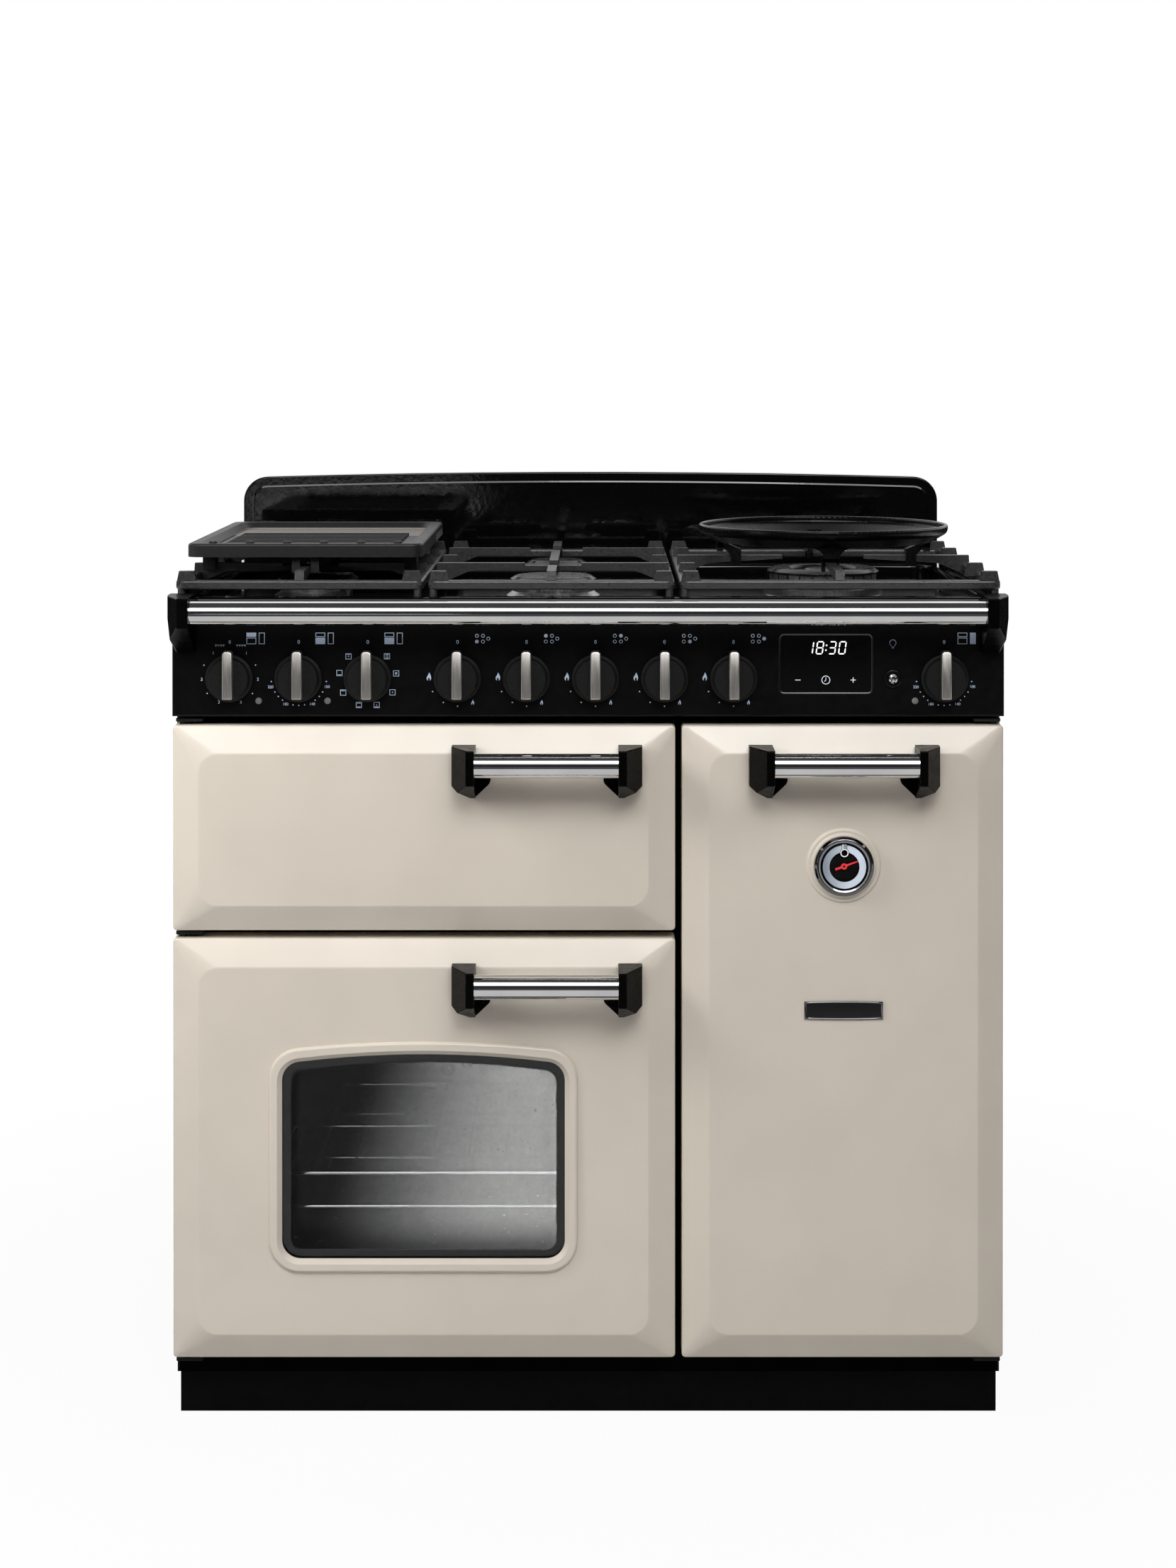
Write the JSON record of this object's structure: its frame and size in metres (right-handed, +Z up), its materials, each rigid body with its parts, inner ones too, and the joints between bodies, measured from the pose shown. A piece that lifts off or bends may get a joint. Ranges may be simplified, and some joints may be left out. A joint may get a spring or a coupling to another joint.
{
  "type": "range cooker",
  "caption": "Freestanding range cooker with a gas hob, griddle, wok cradle, handrail, turning control knobs, and side-hung grill and oven doors.",
  "frame": {"origin": "middle of the overall footprint, on the floor", "axes": "+X to the cooker's right as seen from the front, -Y to the front, +Z up"},
  "size_m": [0.9, 0.663, 1.0049],
  "materials": {
    "casing": "satin",
    "chassis_enamel": "gloss",
    "black_paint": "satin",
    "foot_steel": "satin",
    "hob_enamel": "gloss",
    "panel_black": "satin",
    "clock_glass": "gloss",
    "chrome_trim": "polished",
    "switch_plastic": "matt",
    "gas_aluminium": "satin",
    "bracket_black": "satin",
    "cavity_enamel": "gloss",
    "element_steel": "satin",
    "shelf_chrome": "polished",
    "burner_aluminium": "satin",
    "cap_enamel": "matt",
    "window_glass": "gloss",
    "needle_red": "matt",
    "cast_grey": "matt",
    "door_paint": "satin",
    "liner_enamel": "gloss",
    "knob_black": "matt"
  },
  "bodies": {
    "cooker": {"casing_panels": "casing", "chassis": "chassis_enamel", "plinth": "black_paint", "levelling_feet": "foot_steel", "hob_tray": "hob_enamel", "splashback": "hob_enamel", "control_panel": "panel_black", "clock_and_lamps": "clock_glass", "oven_switches": "switch_plastic", "gas_rail": "gas_aluminium", "handrail_bar": "chrome_trim", "handrail_brackets": "bracket_black", "hinge_brackets": "foot_steel", "main_oven_cavity": "cavity_enamel", "tall_oven_cavity": "cavity_enamel", "grill_cavity": "cavity_enamel", "fan_motors": "foot_steel", "heating_elements": "element_steel", "grill_pan": "cavity_enamel", "shelf_ladders": "shelf_chrome", "oven_shelves": "shelf_chrome", "burner_bodies": "burner_aluminium", "burner_caps": "cap_enamel"},
    "grill_door": {"grill_door_skin": "door_paint", "grill_door_liner": "liner_enamel", "grill_door_handle_bar": "chrome_trim", "grill_door_handle_brackets": "bracket_black"},
    "main_door": {"main_door_skin": "door_paint", "main_door_liner": "liner_enamel", "main_door_handle_bar": "chrome_trim", "main_door_handle_brackets": "bracket_black", "main_door_glass": "window_glass"},
    "tall_door": {"tall_door_skin": "door_paint", "tall_door_liner": "liner_enamel", "tall_door_handle_bar": "chrome_trim", "tall_door_handle_brackets": "bracket_black", "thermometer": "chrome_trim"},
    "thermometer_needle": {"thermometer_needle": "needle_red"},
    "light_button": {"light_button": "chrome_trim"},
    "main_oven_fan": {"main_oven_fan": "element_steel"},
    "tall_oven_fan": {"tall_oven_fan": "element_steel"},
    "pan_support_left": {"pan_support_left": "cast_grey"},
    "pan_support_centre": {"pan_support_centre": "cast_grey"},
    "pan_support_right": {"pan_support_right": "cast_grey"},
    "griddle": {"griddle": "cast_grey"},
    "wok_cradle": {"wok_cradle": "cast_grey"},
    "grill_knob": {"grill_knob": "knob_black"},
    "main_oven_thermostat_knob": {"main_oven_thermostat_knob": "knob_black"},
    "main_oven_function_knob": {"main_oven_function_knob": "knob_black"},
    "tall_oven_thermostat_knob": {"tall_oven_thermostat_knob": "knob_black"},
    "front_left_burner_spindle": {"front_left_burner_spindle": "foot_steel"},
    "front_left_burner_knob": {"front_left_burner_knob": "knob_black"},
    "rear_left_burner_spindle": {"rear_left_burner_spindle": "foot_steel"},
    "rear_left_burner_knob": {"rear_left_burner_knob": "knob_black"},
    "rear_centre_burner_spindle": {"rear_centre_burner_spindle": "foot_steel"},
    "rear_centre_burner_knob": {"rear_centre_burner_knob": "knob_black"},
    "front_centre_burner_spindle": {"front_centre_burner_spindle": "foot_steel"},
    "front_centre_burner_knob": {"front_centre_burner_knob": "knob_black"},
    "wok_burner_spindle": {"wok_burner_spindle": "foot_steel"},
    "wok_burner_knob": {"wok_burner_knob": "knob_black"}
  },
  "joints": [
    {"name": "grill_door_swing", "type": "hinge", "parent": "cooker", "child": "grill_door", "pos_m": [-0.439, -0.2545, 0.65], "axis": [0, 0, -1], "range_deg": [0, 100]},
    {"name": "main_door_swing", "type": "hinge", "parent": "cooker", "child": "main_door", "pos_m": [-0.439, -0.2545, 0.3], "axis": [0, 0, -1], "range_deg": [0, 100]},
    {"name": "tall_door_swing", "type": "hinge", "parent": "cooker", "child": "tall_door", "pos_m": [0.439, -0.2545, 0.3], "axis": [0, 0, 1], "range_deg": [0, 100]},
    {"name": "thermometer_needle_turn", "type": "hinge", "parent": "tall_door", "child": "thermometer_needle", "pos_m": [0.2745, -0.2881, 0.609], "axis": [0, -1, 0], "range_deg": [-65, 205], "stiffness_Nm_per_rad": 0.002},
    {"name": "grill_knob_turn", "type": "hinge", "parent": "cooker", "child": "grill_knob", "pos_m": [-0.3865, -0.2685, 0.809], "axis": [0, -1, 0], "range_deg": [-165, 165]},
    {"name": "main_oven_thermostat_knob_turn", "type": "hinge", "parent": "cooker", "child": "main_oven_thermostat_knob", "pos_m": [-0.3121, -0.2685, 0.809], "axis": [0, -1, 0], "range_deg": [-265, 0]},
    {"name": "main_oven_function_knob_turn", "type": "hinge", "parent": "cooker", "child": "main_oven_function_knob", "pos_m": [-0.2377, -0.2685, 0.809], "axis": [0, -1, 0], "continuous": true},
    {"name": "tall_oven_thermostat_knob_turn", "type": "hinge", "parent": "cooker", "child": "tall_oven_thermostat_knob", "pos_m": [0.384, -0.2685, 0.809], "axis": [0, -1, 0], "range_deg": [-265, 0]},
    {"name": "front_left_burner_turn", "type": "hinge", "parent": "cooker", "child": "front_left_burner_spindle", "pos_m": [-0.1408, -0.2685, 0.809], "axis": [0, -1, 0], "range_deg": [0, 210]},
    {"name": "front_left_burner_push", "type": "slide", "parent": "front_left_burner_spindle", "child": "front_left_burner_knob", "axis": [0, 1, 0], "range_m": [0, 0.0035], "stiffness_N_per_m": 1500},
    {"name": "rear_left_burner_turn", "type": "hinge", "parent": "cooker", "child": "rear_left_burner_spindle", "pos_m": [-0.0664, -0.2685, 0.809], "axis": [0, -1, 0], "range_deg": [0, 210]},
    {"name": "rear_left_burner_push", "type": "slide", "parent": "rear_left_burner_spindle", "child": "rear_left_burner_knob", "axis": [0, 1, 0], "range_m": [0, 0.0035], "stiffness_N_per_m": 1500},
    {"name": "rear_centre_burner_turn", "type": "hinge", "parent": "cooker", "child": "rear_centre_burner_spindle", "pos_m": [0.008, -0.2685, 0.809], "axis": [0, -1, 0], "range_deg": [0, 210]},
    {"name": "rear_centre_burner_push", "type": "slide", "parent": "rear_centre_burner_spindle", "child": "rear_centre_burner_knob", "axis": [0, 1, 0], "range_m": [0, 0.0035], "stiffness_N_per_m": 1500},
    {"name": "front_centre_burner_turn", "type": "hinge", "parent": "cooker", "child": "front_centre_burner_spindle", "pos_m": [0.0824, -0.2685, 0.809], "axis": [0, -1, 0], "range_deg": [0, 210]},
    {"name": "front_centre_burner_push", "type": "slide", "parent": "front_centre_burner_spindle", "child": "front_centre_burner_knob", "axis": [0, 1, 0], "range_m": [0, 0.0035], "stiffness_N_per_m": 1500},
    {"name": "wok_burner_turn", "type": "hinge", "parent": "cooker", "child": "wok_burner_spindle", "pos_m": [0.1568, -0.2685, 0.809], "axis": [0, -1, 0], "range_deg": [0, 210]},
    {"name": "wok_burner_push", "type": "slide", "parent": "wok_burner_spindle", "child": "wok_burner_knob", "axis": [0, 1, 0], "range_m": [0, 0.0035], "stiffness_N_per_m": 1500},
    {"name": "light_button_push", "type": "slide", "parent": "cooker", "child": "light_button", "axis": [0, 1, 0], "range_m": [0, 0.0025], "stiffness_N_per_m": 600},
    {"name": "main_oven_fan_spin", "type": "hinge", "parent": "cooker", "child": "main_oven_fan", "pos_m": [-0.177, 0.2, 0.301], "axis": [0, 1, 0], "continuous": true},
    {"name": "tall_oven_fan_spin", "type": "hinge", "parent": "cooker", "child": "tall_oven_fan", "pos_m": [0.2745, 0.2, 0.416], "axis": [0, 1, 0], "continuous": true},
    {"name": "pan_support_left_lift", "type": "slide", "parent": "cooker", "child": "pan_support_left", "axis": [0, 0, 1], "range_m": [0, 0.15]},
    {"name": "pan_support_centre_lift", "type": "slide", "parent": "cooker", "child": "pan_support_centre", "axis": [0, 0, 1], "range_m": [0, 0.15]},
    {"name": "pan_support_right_lift", "type": "slide", "parent": "cooker", "child": "pan_support_right", "axis": [0, 0, 1], "range_m": [0, 0.15]},
    {"name": "griddle_lift", "type": "slide", "parent": "pan_support_left", "child": "griddle", "axis": [0, 0, 1], "range_m": [0, 0.12]},
    {"name": "wok_cradle_lift", "type": "slide", "parent": "pan_support_right", "child": "wok_cradle", "axis": [0, 0, 1], "range_m": [0, 0.12]}
  ]
}
